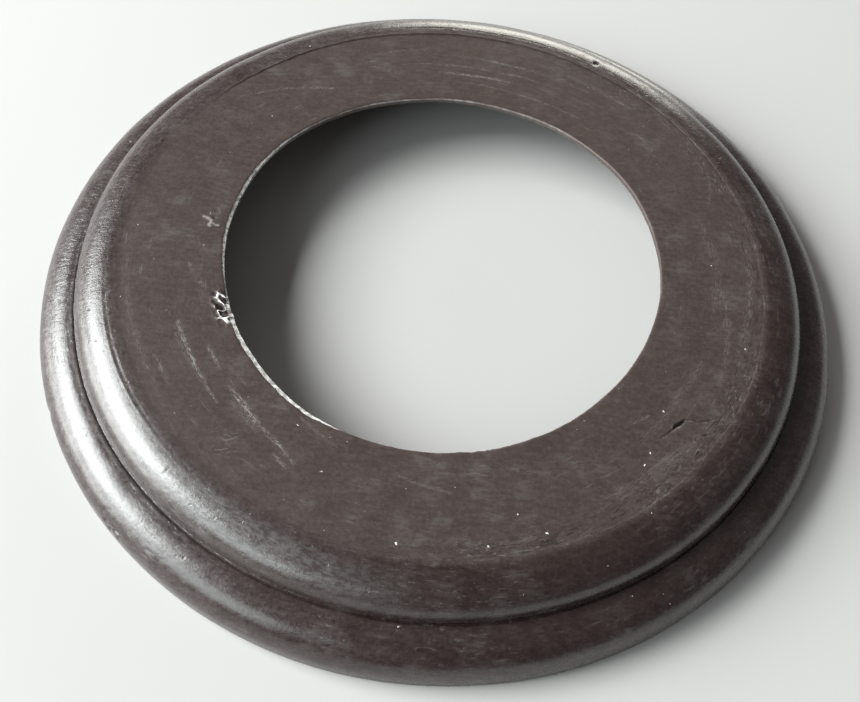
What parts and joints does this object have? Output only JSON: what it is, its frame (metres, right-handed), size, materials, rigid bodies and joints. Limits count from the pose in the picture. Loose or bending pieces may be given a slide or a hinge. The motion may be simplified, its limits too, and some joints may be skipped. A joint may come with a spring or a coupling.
{
  "type": "rubber expansion joint",
  "caption": "Low stepped ring of moulded black rubber with a flat flexible face round a trimmed pipe hole, a rounded flexing shoulder and a solid seating flange.",
  "frame": {"origin": "centre of the flange's seating face, on the pipe axis", "axes": "+Z along the pipe axis, from the flange seat towards the flat flexible face; X and Y are two equal directions across it and are the axes of the two tilts"},
  "size_m": [0.1, 0.1, 0.0095],
  "materials": {
    "cover_rubber": "satin moulded black rubber with scuffs and dust",
    "liner_rubber": "matt moulded black rubber",
    "filler_rubber": "matt extruded rubber",
    "woven_ply": "plain woven rubberised cord cloth",
    "bead_steel": "drawn bead wire"
  },
  "bodies": {
    "flange": {"flange_cover": "cover_rubber", "flange_ply": "woven_ply", "bead_filler": "filler_rubber", "bead_wire": "bead_steel", "flange_seat": "liner_rubber"},
    "shoulder": {"shoulder_cover": "cover_rubber", "shoulder_ply": "woven_ply", "shoulder_liner": "liner_rubber"},
    "web": {"web_cover": "cover_rubber", "web_ply": "woven_ply", "web_liner": "liner_rubber"},
    "lip": {"lip_cover": "cover_rubber", "lip_ply": "woven_ply", "lip_liner": "liner_rubber"}
  },
  "joints": [
    {"name": "axial_travel", "type": "slide", "parent": "flange", "child": "shoulder", "axis": [0, 0, 1], "range_m": [-0.0035, 0.002], "stiffness_N_per_m": 2000, "deforming": ["shoulder_cover", "shoulder_ply", "shoulder_liner"]},
    {"name": "tilt_x", "type": "hinge", "parent": "shoulder", "child": "web", "pos_m": [0, 0, 0.00833], "axis": [1, 0, 0], "range_deg": [-3, 3], "stiffness_Nm_per_rad": 1},
    {"name": "tilt_y", "type": "hinge", "parent": "web", "child": "lip", "pos_m": [0, 0, 0.00833], "axis": [0, 1, 0], "range_deg": [-3, 3], "stiffness_Nm_per_rad": 0.6}
  ]
}
